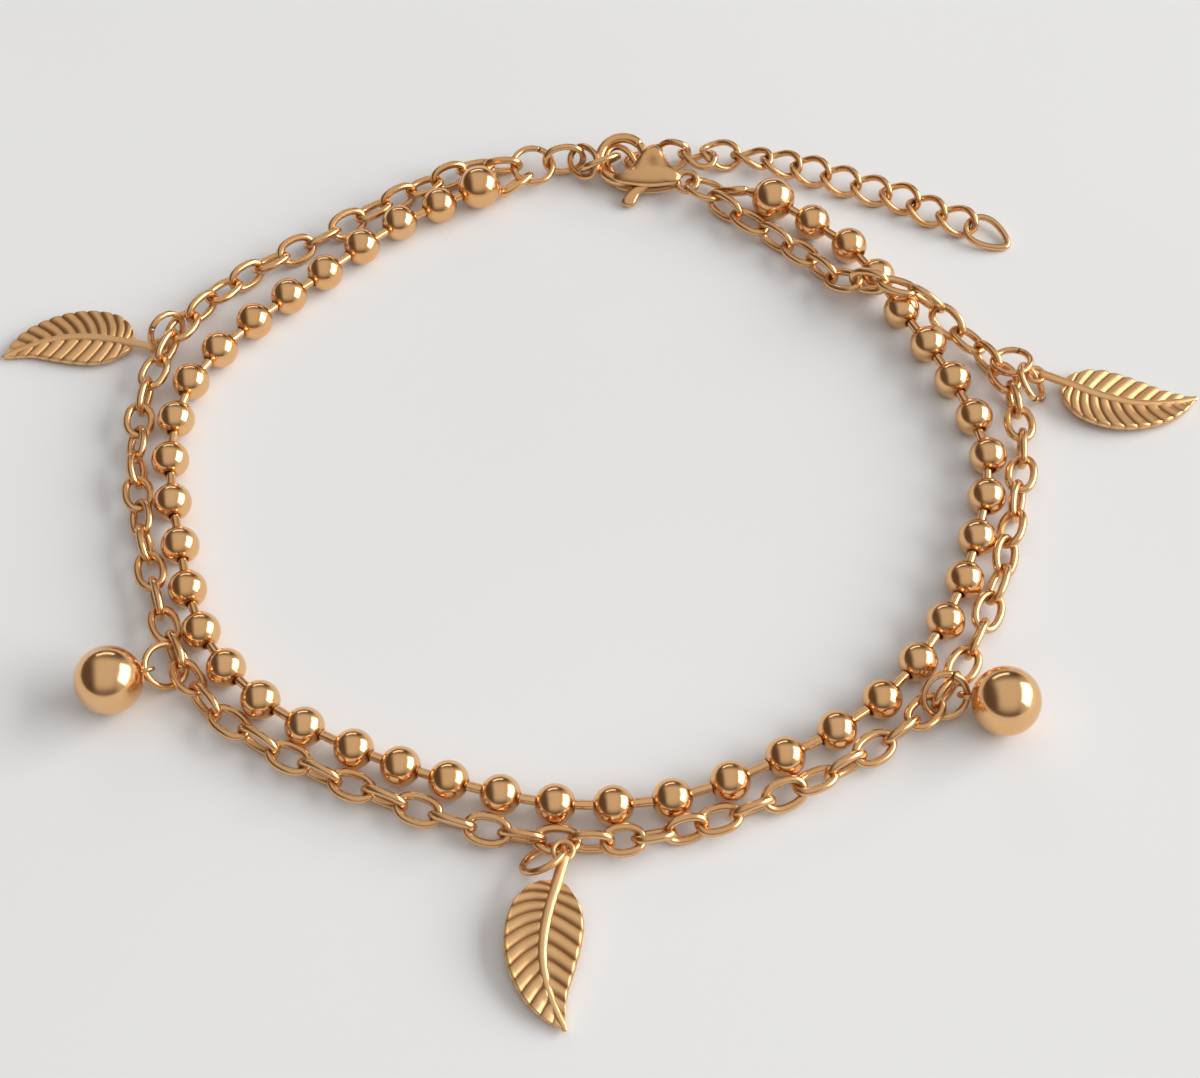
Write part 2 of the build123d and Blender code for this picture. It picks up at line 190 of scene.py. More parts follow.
def through(points, count):
    """Evenly numbered points on the smooth curve through a short list of points."""
    points = np.array(points, float)
    length = np.concatenate(((0,), np.cumsum(np.linalg.norm(np.diff(points, axis=0), axis=1))))
    rows = np.column_stack((length, points))
    return on_curve(rows, np.linspace(0, length[-1], count))


# %% [markdown]
# ## Wire
# A wire is a circle carried along a path, square to it. On a closed loop the circle's
# first arm points away from the middle of the loop, so that the grid never twists; on
# an open wire it points square to a fixed direction. An open end is rounded: the radius
# falls to nothing as a cosine while the path goes on by the sine.


# %% Wire along a path
def wire(path, radius, sides=16, closed=True, normal=None, squash=1.0):
    """point(i, a) = path(i) + radius(i) * (cos a * out(i) + squash * sin a * over(i))."""
    path = np.asarray(path, float)
    ahead = np.roll(path, -1, axis=0) - np.roll(path, 1, axis=0)
    if not closed:
        ahead[0], ahead[-1] = path[1] - path[0], path[-1] - path[-2]
    ahead = unit(ahead)
    out = path - path.mean(axis=0) if normal is None else np.cross(ahead, normal)
    out = unit(out - ahead * np.sum(out * ahead, axis=1, keepdims=True))
    over = np.cross(ahead, out)
    turn = np.linspace(0, 2 * np.pi, sides, endpoint=False)[None, :, None]
    ring = np.cos(turn) * out[:, None] + squash * np.sin(turn) * over[:, None]
    return path[:, None] + np.broadcast_to(radius, len(path))[:, None, None] * ring


def arc(radius, turn, centre=(0, 0)):
    """Part of a flat circle: x = cx + r * cos t, y = cy + r * sin t."""
    x, y = centre[0] + radius * np.cos(turn), centre[1] + radius * np.sin(turn)
    return np.column_stack((x, y, 0 * turn))


def rounded(path, radius, steps=5):
    """Open path and its radius with half a ball added at each end."""
    path = np.asarray(path, float)
    radius = np.broadcast_to(radius, len(path)).astype(float)
    turn = np.radians(np.linspace(90, 0, steps, endpoint=False))[:, None]
    start = path[0] + unit(path[0] - path[1]) * radius[0] * np.sin(turn)
    end = path[-1] + unit(path[-1] - path[-2]) * radius[-1] * np.sin(turn[::-1])
    swell = np.cos(turn[:, 0])
    radii = np.concatenate((radius[0] * swell, radius, radius[-1] * swell[::-1]))
    return np.concatenate((start, path, end)), radii


def inner_end_shade(turns, sides, tight):
    """Painted shade on the inner side of a loop's two ends, where the next link passes through."""
    end = ramp(np.abs(np.cos(turns)), tight, 1)[:, None]
    side = np.linspace(0, 2 * np.pi, sides, endpoint=False)[None, :]
    return end * np.clip(-np.cos(side), 0, 1)


# %% [markdown]
# ## Shader maths
# Materials here are small sums: a dark corner here, a hazy patch there. Written as
# nodes, a sum is a tangle, so one class wraps a node's output and lets Python's own
# operators add the Math nodes. Any other node comes from one method, `add`.


# %% A class for shader sums
class Field:
    """An output of a node in a material; arithmetic on it adds Math nodes."""

    def __init__(self, shader, output):
        self.shader = shader
        self.output = output

    def maths(self, operation, *values):
        return self.shader.add("ShaderNodeMath", {"operation": operation}, dict(enumerate(values)))

    def __add__(self, other):
        return self.maths("ADD", self, other)

    def __radd__(self, other):
        return self.maths("ADD", other, self)

    def __sub__(self, other):
        return self.maths("SUBTRACT", self, other)

    def __rsub__(self, other):
        return self.maths("SUBTRACT", other, self)

    def __mul__(self, other):
        return self.maths("MULTIPLY", self, other)

    def __rmul__(self, other):
        return self.maths("MULTIPLY", other, self)

    def clamp(self, low=0.0, high=1.0):
        return self.maths("MINIMUM", self.maths("MAXIMUM", self, low), high)

    def step(self, start, end):
        """0 below start, 1 above end, and smooth between them."""
        settings = {"interpolation_type": "SMOOTHSTEP"}
        sockets = {"Value": self, "From Min": start, "From Max": end}
        return self.shader.add("ShaderNodeMapRange", settings, sockets)


class Shader:
    """A material or a world whose nodes are made in Python."""

    def __init__(self, owner):
        self.owner = owner
        owner.use_nodes = True
        self.tree = owner.node_tree
        self.tree.nodes.clear()

    def add(self, kind, settings=None, sockets=None, output=0):
        """A node of one type: its settings first, then the values or links of its sockets."""
        node = self.tree.nodes.new(kind)
        for name, value in (settings or {}).items():
            setattr(node, name, value)
        for name, value in (sockets or {}).items():
            if isinstance(value, Field):
                self.tree.links.new(value.output, node.inputs[name])
            else:
                node.inputs[name].default_value = value
        return Field(self, node.outputs[output]) if node.outputs else node

    def mix(self, share, first, second):
        """Colour that goes from the first to the second as the share goes from 0 to 1."""
        settings = {"data_type": "RGBA", "blend_type": "MIX"}
        return self.add("ShaderNodeMix", settings, {0: share, 6: first, 7: second}, output=2)

    def noise(self, scale, detail=2.0):
        """Cloudy noise in the object's own space; scale is in lumps a metre."""
        place = self.add("ShaderNodeTexCoord", output=3)
        sockets = {"Vector": place, "Scale": scale, "Detail": detail}
        return self.add("ShaderNodeTexNoise", sockets=sockets)


# %% [markdown]
# ## Rose gold
# The metal is plated: a thin even coat of rose gold, bright where it is polished and
# silky where it is satin. Real plating is never quite even. Its tint drifts a little,
# handling leaves it hazy in places, and a fine grain breaks up its gloss. In the corners
# the metal is duller, and shade is painted into its tint there as a darker colour. Those
# are three small noises and the nook attribute, not a picture.


# %% Rose gold finishes
DRIFT_LUMPS, SMEAR_LUMPS = 160.0, 900.0  # lumps a metre of the tint and of the handling marks
WARMER = (1.0, 0.93, 0.86)  # what the tint is multiplied by where it drifts to copper
NOOK_SHADE, NOOK_ROUGH = 0.85, 0.22  # how strongly shade is painted into the tint in a nook, and how much rougher the metal is there
GRAIN_HEIGHT = 0.00002  # metres


def rose_gold(name, tint, shade_tint, roughness, haze, grain, grain_scale):
    """Plated metal: tint on open metal, painted shade in the nooks, and a grain that is felt as
    bump.
    """
    shader = Shader(bpy.data.materials.new(name))
    nook = shader.add("ShaderNodeAttribute", {"attribute_name": "nook"}, output=2)
    drift = shader.noise(DRIFT_LUMPS)
    warm = [channel * share for channel, share in zip(tint, WARMER)] + [1.0]
    colour = shader.mix(drift.step(0.35, 0.7), (*tint, 1.0), warm)
    # Painted shade: the colour goes towards the darker tint as far as the nook goes into a corner.
    colour = shader.mix((nook * NOOK_SHADE).clamp(), colour, (*shade_tint, 1.0))
    fine = shader.noise(grain_scale, 3.0)
    smear = shader.noise(SMEAR_LUMPS)
    rough = roughness + haze * smear.step(0.3, 0.8) + nook * NOOK_ROUGH
    bump = shader.add(
        "ShaderNodeBump", sockets={"Strength": grain, "Distance": GRAIN_HEIGHT, "Height": fine}
    )
    surface = shader.add(
        "ShaderNodeBsdfPrincipled",
        sockets={
            "Base Color": colour,
            "Metallic": 1.0,
            "Roughness": rough.clamp(0.04, 0.9),
            "Normal": bump,
        },
    )
    shader.add("ShaderNodeOutputMaterial", sockets={"Surface": surface})
    print("material", name)
    return shader.owner


# Each finish: tint, the darker tint of the painted shade in its nooks, roughness, haze,
# strength of the grain and its lumps a metre.
BALL_METAL = rose_gold(
    "polished_ball_metal", (0.86, 0.53, 0.26), (0.24, 0.09, 0.03), 0.15, 0.06, 0.05, 2600.0
)
LINK_METAL = rose_gold(
    "polished_wire_metal", (0.80, 0.49, 0.24), (0.20, 0.07, 0.02), 0.22, 0.08, 0.12, 3200.0
)
LEAF_METAL = rose_gold(
    "satin_leaf_metal", (0.88, 0.565, 0.28), (0.22, 0.09, 0.03), 0.37, 0.08, 0.20, 5200.0
)
CLASP_METAL = rose_gold(
    "satin_clasp_metal", (0.82, 0.495, 0.235), (0.18, 0.07, 0.02), 0.20, 0.08, 0.14, 4200.0
)
PIN_METAL = rose_gold(
    "pin_end_metal", (0.80, 0.55, 0.36), (0.25, 0.12, 0.06), 0.28, 0.08, 0.10, 4200.0
)

# %% [markdown]
# ## Ball string
# Each ball is hollow, with a hole at each end where a short pin goes in. The hole is a
# little wider than the pin, and that dark ring round the pin, a real gap with shade also
# painted round it and inside the hole, is what makes a ball chain look like one. The balls
# lie on a smooth curve through every second ball, so that the spacing varies as it does in
# a strand that has been laid down by hand.

# %% Balls of the string
BALL, END_BALL, PIN = 3.5, 4.26, 0.85
HOLE = 0.53  # radius of the hole that a pin goes into
HOLE_DEPTH, HOLE_CLOSES = 0.5, 0.1  # its depth, and how much narrower it is at its floor
LIP_DEPTH, LIP_CLOSES = 0.07, 0.05  # the same for its turned-in edge
HOLE_SHADE = 0.2  # how far from a hole shade is painted into the metal
PIN_SEAT = 0.3  # how far a pin goes into a ball
BALL_ROWS = [
    (-10.65, 41.35),
    (-18.6, 37.3),
    (-25.8, 31.1),
    (-32.4, 25.2),
    (-38.0, 18.0),
    (-39.3, 8.8),
    (-37.7, -0.9),
    (-35.2, -10.2),
    (-29.6, -17.5),
    (-21.4, -22.7),
    (-13.3, -26.1),
    (-4.4, -28.7),
    (5.4, -28.6),
    (15.1, -25.0),
    (23.8, -19.7),
    (30.1, -12.0),
    (33.9, -3.3),
    (36.0, 5.8),
    (33.8, 14.9),
    (29.9, 23.6),
    (25.6, 32.1),
    (18.6, 38.3),
]
LAST_BALL = 2 * (len(BALL_ROWS) - 1)
ball_numbers = np.arange(LAST_BALL + 1)
ball_rows = [(2 * row, x, y) for row, (x, y) in enumerate(BALL_ROWS)]
ball_widths = np.where((ball_numbers == 0) | (ball_numbers == LAST_BALL), END_BALL, BALL)
ball_middles = np.column_stack((on_curve(ball_rows, ball_numbers), ball_widths / 2))
thread = unit(np.gradient(ball_middles, axis=0))
print("balls on the string:", len(ball_middles))


# %% One ball, turned round its thread
def turned(profile, middle, axis, sides):
    """Profile (height along the axis, distance from it) turned round the axis."""
    profile = np.asarray(profile, float)
    axis = unit(np.asarray(axis, float))
    first = unit(np.cross(axis, (0.0, 0.0, 1.0)))
    second = np.cross(axis, first)
    turn = np.linspace(0, 2 * np.pi, sides, endpoint=False)[None, :, None]
    ring = np.cos(turn) * first + np.sin(turn) * second
    return middle + profile[:, 0, None, None] * axis + profile[:, 1, None, None] * ring


def hole_lip(top, hole):
    """Middle and edge of a hole's floor, and the inner side of its turned-in edge."""
    floor_at, lip_at = top - HOLE_DEPTH, top - LIP_DEPTH
    return np.array(((floor_at, 0), (floor_at, hole - HOLE_CLOSES), (lip_at, hole - LIP_CLOSES)))


def ball_profile(width, first_hole, last_hole, rows):
    """Half circle between the edges of two holes, each turned in and closed by a floor.

    A hole of radius 0 leaves a plain round pole.
    """
    radius = width / 2
    start, end = np.arcsin(first_hole / radius), np.pi - np.arcsin(last_hole / radius)
    turn = start + (end - start) * (0.5 - 0.5 * np.cos(np.linspace(0, np.pi, rows)))
    profile = np.column_stack((radius * np.cos(turn), radius * np.sin(turn)))
    if first_hole:
        profile = np.concatenate((hole_lip(profile[0, 0], first_hole), profile))
    if last_hole:
        lip = hole_lip(-profile[-1, 0], last_hole)[::-1] * (-1, 1)
        profile = np.concatenate((profile, lip))
    return profile


def ball(middle, width, axis, first_hole=HOLE, last_hole=HOLE, rows=26, sides=40):
    """One hollow ball; its nook paints shade inside the holes and at their edges."""
    profile = ball_profile(width, first_hole, last_hole, rows)
    near_hole = 1 - ramp(profile[:, 1], HOLE - 0.02, HOLE + HOLE_SHADE)
    open_end = (profile[:, 0] > 0) & (first_hole == 0) | (profile[:, 0] < 0) & (last_hole == 0)
    nook = np.where(open_end, 0, near_hole)[:, None]
    return turned(profile, middle, axis, sides), False, True, nook


def pin_between(first, last):
    """Straight pin from inside one ball into the next, with shade painted towards both of its ends.
    """
    way = ball_middles[last] - ball_middles[first]
    length = np.linalg.norm(way)
    start = (ball_widths[first] / 2 - PIN_SEAT) / length
    stop = 1 - (ball_widths[last] / 2 - PIN_SEAT) / length
    steps = np.linspace(start, stop, 8)[:, None]
    path, radius = rounded(ball_middles[first] + way * steps, PIN / 2, 3)
    shade = ramp(np.abs(np.linspace(-1, 1, len(path))), 0.56, 0.91)
    grid = wire(path, radius, 14, closed=False, normal=(0, 0, 1))
    return grid, False, True, shade[:, None]


# %% The string in its six runs
BALL_RUNS = [(1, 7), (8, 14), (15, 21), (22, 28), (29, 35), (36, 41)]
for run, (first, last) in enumerate(BALL_RUNS, 1):
    surfaces = [ball(ball_middles[i], BALL, thread[i]) for i in range(first, last + 1)]
    surfaces += [pin_between(i, i + 1) for i in range(first, last + 1)]
    name = f"ball_run_{run}"
    make_piece(name + "_look", surfaces, BALL_METAL, [name])


# %% [markdown]
# ## Wire loops
# Cable links, jump rings and extender links are all one idea: a wire round a closed
# path. Only the path's formula changes. A cable link is a rounded oval; a curb link is
# the same oval with its two ends turned opposite ways, which makes such a chain lie
# flat; the last link of the extender is a pear.


# %% Formulas of the loops
LONG_LINK_ROWS = 60  # rows of an extender link


def turns_of(count):
    """Angles evenly round a loop."""
    return np.linspace(0, 2 * np.pi, count, endpoint=False)


def oval(length, width, thick, count=52, power=2.25):
    """Rounded oval: |x/a|^p + |y/b|^p = 1 on the wire's middle line."""
    turn = turns_of(count)
    x, y = np.cos(turn), np.sin(turn)
    x = (length - thick) / 2 * np.sign(x) * np.abs(x) ** (2 / power)
    y = (width - thick) / 2 * np.sign(y) * np.abs(y) ** (2 / power)
    return np.column_stack((x, y, 0 * x))


def twisted(length, width, thick, twist):
    """Oval whose ends are turned by plus and minus the twist round its length."""
    turn = turns_of(LONG_LINK_ROWS)
    x, y = (length - thick) / 2 * np.cos(turn), (width - thick) / 2 * np.sin(turn)
    tilt = np.radians(twist) * np.cos(turn)
    return np.column_stack((x, y * np.cos(tilt), y * np.sin(tilt)))


def pear(length, width, thick, taper):
    """Oval that grows narrower towards one end."""
    turn = turns_of(LONG_LINK_ROWS)
    x, y = (length - thick) / 2 * np.cos(turn), (width - thick) / 2 * np.sin(turn)
    return np.column_stack((x, y * (1 - taper * np.cos(turn)), 0 * x))


def loop(path, thick, sides=14, tight=0.75):
    """Closed wire and its nook, with shade painted where the next links pass through its ends."""
    nook = inner_end_shade(turns_of(len(path)), sides, tight)
    return wire(path, thick / 2, sides), True, True, nook


# %% [markdown]
# ## End balls
# The string ends in a larger ball at each side. A flared neck is drawn out of the ball
# into a loop that the jump ring goes through. The loop's wire is taller than it is wide,
# thick at the neck and thinner at its far end.

# %% End balls with their loops
LOOP_LENGTH, LOOP_WIDTH, LOOP_WIRE = 4.2, 2.2, 0.5
LOOP_ROWS, LOOP_SIDES = 64, 16
FAR_ARM, NEAR_ARM, ARM_SQUASH = 0.82, 0.5, 1.3  # wire at the far end, and what the neck adds
NECK_RADIUS, NECK_FLARE = 0.36, 0.95  # at the loop, and how much more it is inside the ball
NECK_START = 0.45  # share of the way from the ball's middle to the loop


def end_ball(number, neighbour, place):
    """Large end ball, its neck and its loop.

    The loop's wire swells by a cosine from its far end to the neck. The neck's radius falls
    from the ball's middle to the loop as (1 - share) ** 1.5.
    """
    middle = ball_middles[number]
    axis = ball_middles[neighbour] - middle
    loop_path = laid(oval(LOOP_LENGTH, LOOP_WIDTH, LOOP_WIRE, LOOP_ROWS), place)
    near = 0.5 - 0.5 * np.cos(turns_of(LOOP_ROWS))
    arm_radius = LOOP_WIRE / 2 * (FAR_ARM + NEAR_ARM * near)
    arms = wire(loop_path, arm_radius, LOOP_SIDES, squash=ARM_SQUASH)
    neck_end = laid([(-LOOP_LENGTH / 2 + LOOP_WIRE * 0.6, 0, 0)], place)[0]
    share = np.linspace(NECK_START, 1, 12)[:, None]
    path = middle + (neck_end - middle) * share
    flare = NECK_RADIUS + NECK_FLARE * (1 - share[:, 0]) ** 1.5
    path, radius = rounded(path, flare, 3)
    neck = wire(path, radius, 20, closed=False, normal=(0, 0, 1))
    return [
        ball(middle, END_BALL, axis, last_hole=0, rows=34, sides=48),
        (neck, False, True, 0.0),
        (arms, True, True, inner_end_shade(turns_of(LOOP_ROWS), LOOP_SIDES, 0.8)),
    ]


left_end = end_ball(0, 1, (-6.94, 42.45, 1.25, 35, 8, -41))
left_end.append(pin_between(0, 1))
make_piece("ball_end_left_look", left_end, BALL_METAL, ["ball_end_left"])
right_end = end_ball(LAST_BALL, LAST_BALL - 1, (14.46, 40.15, 1.44, 156, -26, 53))
make_piece("ball_end_right_look", right_end, BALL_METAL, ["ball_end_right"])

# %% [markdown]
# ## Cable chain
# Every third link or so has a row: its number, x, y, height and roll, because a chain
# that lies free turns slowly from link to link. Every other link stands a quarter turn
# from its neighbours. Each link is as long as its own stretch of the route needs.

# %% Cable chain
CABLE_WIRE, CABLE_WIDTH = 0.74, 2.98
LINK_PRESS = 0.16  # how much each link is shorter than what would just reach its neighbours
CABLE_ROWS = [
    (0, -8.3, 44.8, 1.5, -105),
    (1, -11.1, 44.85, 1.35, -65),
    (4, -18.8, 40.95, 1.4, -75),
    (7, -26.3, 36.1, 1.25, -42),
    (10, -33.5, 31.3, 1.45, -70),
    (13, -39.2, 24.6, 2.1, -85),
    (16, -42.3, 16.5, 1.6, -90),
    (19, -42.4, 8.05, 1.45, -160),
    (22, -40.9, -0.5, 1.5, -255),
    (25, -38.5, -9.3, 1.5, -285),
    (28, -34.4, -17.3, 1.5, -285),
    (31, -26.9, -23.2, 1.5, -270),
    (34, -18.7, -27.4, 1.5, -265),
    (37, -10.1, -30.7, 1.4, -245),
    (40, -1.5, -32.2, 1.5, -275),
    (43, 6.4, -31.3, 1.4, -205),
    (46, 14.8, -28.4, 1.4, -140),
    (49, 22.7, -24.3, 1.4, -70),
    (52, 29.4, -18.9, 1.5, -90),
    (55, 34.0, -11.0, 1.45, -70),
    (58, 37.2, -2.1, 1.35, -35),
    (61, 39.3, 6.7, 1.5, 0),
    (64, 38.7, 15.1, 1.5, 5),
    (67, 34.1, 22.0, 1.7, 35),
    (68, 32.2, 23.8, 3.1, 70),
    (69, 29.45, 24.8, 3.9, 112),
    (70, 26.9, 25.95, 3.45, 100),
    (71, 24.6, 27.3, 2.1, 85),
    (73, 20.8, 31.7, 1.45, 93),
    (76, 13.75, 38.1, 1.5, 105),
]
CABLE_RUNS = [(0, 12), (13, 25), (26, 38), (39, 50), (51, 64), (65, 76)]
cable = on_curve(CABLE_ROWS, np.arange(CABLE_ROWS[-1][0] + 1))
link_middles, link_rolls = cable[:, :3], cable[:, 3] - 90 * (np.arange(len(cable)) % 2)
link_ways = np.gradient(link_middles, axis=0)
chords = np.linalg.norm(np.diff(link_middles, axis=0), axis=1)
pitches = np.concatenate((chords[:1], (chords[1:] + chords[:-1]) / 2, chords[-1:]))
print("cable links:", len(cable), "pitch", pitches.min().round(2), "to", pitches.max().round(2))


def cable_link(number):
    """One cable link where it lies."""
    path = oval(pitches[number] + 2 * CABLE_WIRE - LINK_PRESS, CABLE_WIDTH, CABLE_WIRE)
    path = link_middles[number] + path @ axes_of(link_ways[number], link_rolls[number])
    return loop(path, CABLE_WIRE)


for run, (first, last) in enumerate(CABLE_RUNS, 1):
    name = f"cable_run_{run}"
    surfaces = [cable_link(number) for number in range(first, last + 1)]
    make_piece(name + "_look", surfaces, LINK_METAL, [name])

# %% [markdown]
# ## Jump rings
# A jump ring is a circle of wire cut once and pressed shut. The cut stays visible as a
# hair-thin gap, so each ring here is an open wire that stops just short of itself.

# %% Jump rings
RINGS = [
    ("strand_ring", 4.65, 0.64, (-5.27, 44.66, 1.53, 0, -4, 12)),
    ("clasp_ring", 4.5, 0.64, (11.99, 40.42, 1.6, -63, 12, -23)),
    ("ball_ring_left", 4.4, 0.62, (-38.12, -13.44, 1.41, 11, -24, 28)),
    ("ball_ring_right", 4.5, 0.62, (29.16, -19.77, 2.07, 6, -5, 47)),
    ("leaf_ring_left", 4.2, 0.62, (-40.72, 24.09, 2.07, 66, 60, 63)),
    ("leaf_ring_front", 4.4, 0.62, (-5.46, -33.76, 1.76, 112, -42, -9)),
    ("leaf_ring_right_1", 4.1, 0.62, (39.48, 16.33, 2.32, -10, 7, -11)),
    ("leaf_ring_right_2", 4.3, 0.62, (41.09, 14.03, 1.91, -151, 47, -21)),
]
CUT_AT, RING_CUT = 70, 1.2  # where the cut is and half of its width, in degrees
CUT_EDGE, CUT_STEP = 0.9, 0.004  # width of the wire at its cut face, and how soon it is full
RING_ROWS, RING_SIDES = 72, 16


def wire_on(path, radius, normal, centre):
    """Wire round a flat circle: out is away from its centre and over is its normal."""
    out = unit(path - centre)
    turn = turns_of(RING_SIDES)[None, :, None]
    ring = np.cos(turn) * out[:, None] + np.sin(turn) * normal
    return path[:, None] + radius[:, None, None] * ring


def jump_ring(width, thick, place):
    """Round wire from just past its cut to just before it, with flat ends."""
    turn = np.radians(CUT_AT + np.linspace(RING_CUT, 360 - RING_CUT, RING_ROWS))
    path = laid(arc((width - thick) / 2, turn), place)
    path = np.concatenate((path[:1], path[:1], path, path[-1:], path[-1:]))
    swell = np.concatenate(((0.0, CUT_EDGE), np.ones(RING_ROWS), (CUT_EDGE, 0.0))) * thick / 2
    path[1] += (path[2] - path[3]) * CUT_STEP
    path[-2] += (path[-3] - path[-4]) * CUT_STEP
    grid = wire_on(path, swell, axes_at(place)[2], np.array(place[:3]))
    # The nook paints shade at the two cut faces, into the hair-thin gap between them.
    nook = np.concatenate(((1.0, 1.0, 0.8), np.zeros(RING_ROWS - 2), (0.8, 1.0, 1.0)))[:, None]
    return grid, False, True, nook


for name, width, thick, place in RINGS:
    surfaces = [jump_ring(width, thick, place)]
    make_piece(name + "_look", surfaces, LINK_METAL, [name])

# %% [markdown]
# ## Extender chain
# The first links pass through the clasp's hook and lie as they fell. The rest are curb
# links, all turned the same way, each lying on the next like roof tiles.

# %% Extender chain
EXTENDER = dict(length=4.4, width=3.3, thick=0.55)  # the middle line of a link follows these
EXTENDER_WIRE = 0.66
FLAT_LINKS = [
    (-2.06, 45.17, 1.7, 6, 1, 71),
    (-0.11, 44.52, 1.94, -58, 4, 40),
    (1.58, 44.21, 2.05, 21, 3, -56),
    (3.72, 44.79, 1.11, -62, -25, -1),
    (6.05, 45.66, 0.71, 12, -1, -18),
]
TWISTED_LINKS = [
    (8.64, 45.62, 1.2, 7, 22, 42),
    (11.39, 44.99, 1.39, -31, 11, -27),
    (13.8, 45.52, 1.25, -12, -8, 18),
    (16.92, 44.88, 1.31, -12, -1, -21),
    (19.86, 44.02, 1.23, -20, -1, 3),
    (22.77, 42.86, 1.17, -24, 0, 24),
    (25.67, 41.41, 1.14, -26, 0, 22),
    (28.58, 39.99, 1.13, -26, 0, 22),
    (31.35, 38.78, 1.15, -27, 0, 22),
    (33.84, 37.02, 1.13, -32, 0, 22),
    (36.66, 35.57, 1.08, -27, -1, 18),
]
TWIST = 42
flat_path = oval(**EXTENDER, count=LONG_LINK_ROWS, power=2.15)
curb_path = twisted(**EXTENDER, twist=TWIST)
extender = [(flat_path, place) for place in FLAT_LINKS]
extender += [(curb_path, place) for place in TWISTED_LINKS]
for number, (path, place) in enumerate(extender, 1):
    name = f"extender_link_{number:02d}"
    surfaces = [loop(laid(path, place), EXTENDER_WIRE, 16, 0.85)]
    make_piece(name + "_look", surfaces, LINK_METAL, [name])

END_PLACE = (39.59, 33.93, 0.68, -37, -8, 3)
end_path = laid(pear(5.0, 3.6, EXTENDER["thick"], taper=0.35), END_PLACE)
surfaces = [loop(end_path, EXTENDER_WIRE, 16, 0.9)]
make_piece("end_link_look", surfaces, LINK_METAL, ["end_link"])

# %% [markdown]
# ## Ball charms
# A plain polished ball with a small eye of wire soldered on, which its ring goes
# through. The eye stands square to the ring's wire, so its place is worked out from
# the ring's.

# %% Ball charms
CHARM_BALL, EYE_WIDTH, EYE_WIRE = 6.0, 1.8, 0.4
ring_places = {name: (width, thick, place) for name, width, thick, place in RINGS}
BALL_CHARMS = [
    ("ball_left", (-42.6, -15.7, 3.0), "ball_ring_left"),
    ("ball_right", (34.1, -21.05, 3.0), "ball_ring_right"),
]
for name, middle, ring in BALL_CHARMS:
    width, thick, place = ring_places[ring]
    normal = axes_at(place)[2]
    way = np.array(middle) - place[:3]
    reach = unit(way - normal * (way @ normal))
    held = place[:3] + reach * (width - thick) / 2
    turn = turns_of(40)[:, None]
    round_eye = np.cos(turn) * reach + np.sin(turn) * normal
    eye = wire(held + (EYE_WIDTH - EYE_WIRE) / 2 * round_eye, EYE_WIRE / 2, 12)
    axis = np.array(middle) - held
    # The eye's nook of 0.25 paints a little shade all over it.
    surfaces = [
        ball(np.array(middle), CHARM_BALL, axis, 0, 0, rows=56, sides=80),
        (eye, True, True, 0.25),
    ]
    make_piece(name + "_look", surfaces, BALL_METAL, [name])

# %% [markdown]
# ## Leaves
# Each leaf is a small casting: a rounded stem that runs on as the middle vein, and two
# half blades of raised ribs. A half blade is a grid whose rows are the ribs themselves:
# each row starts on the vein and ends on the edge, and because the edge runs ahead of
# the vein, the rows slant to the tip. The ribs are then only a wave counted in rows.

# %% Leaf outlines
STEM = [
    (0.75, 0.05),
    (1.6, -0.2),
    (3, -0.6),
    (5, -1.2),
    (7, -1.6),
    (9, -1.75),
    (11, -1.5),
    (13, -0.9),
    (15, 0.0),
]
UPPER_EDGE = [
    (2.55, -0.5),
    (3.1, 0.35),
    (4.6, 1.3),
    (6.2, 1.65),
    (8, 1.45),
    (10, 0.95),
    (12.3, 0.25),
    (13.8, 0.12),
    (15.1, 0.1),
]
LOWER_EDGE = [
    (2.55, -0.5),
    (2.75, -2.3),
    (3.9, -3.85),
    (5.2, -4.55),
    (7, -4.92),
    (9, -4.82),
    (11, -4.2),
    (13, -3.0),
    (14.4, -1.4),
    (15.1, 0.1),
]
# Each half: its edge, its ribs, how far they run ahead, their bow, roundness, scallop and rim.
HALVES = [
    (UPPER_EDGE, 10, (1.4, 0.78), -0.03, 0.55, 0.05, 0.35),
    (LOWER_EDGE, 13, (1.45, 0.87), -0.09, 0.5, 0.03, 1.0),
]
RIB_ROWS, RIB_COLUMNS = 14, 20
SAMPLES = 200  # points that the vein and an edge are read from
FULL_WIDTH = 2.0  # a half blade this wide has ribs of full height
RIB_RISE, BACK_RISE = 0.29, 0.06  # height of the ribs on the top and on the back
TOP_AT, EDGE_AT, BACK_AT = 0.03, -0.1, -0.3  # heights of the blade's top, edge and back
VEIN_RISE, RIM_RISE = 0.12, 0.14  # how much higher the top is at the vein and near a rim
LIP_RISE, LIP_AT, LIP_WIDTH = 0.12, 0.96, 0.03  # the rim's own thin lip
LOBE_LEVEL = 0.7  # where the wave is higher than this, the edge bulges out
BACK_GROOVE_SHADE = 0.4  # how much shade is painted in a groove on the back, beside that in one on the top
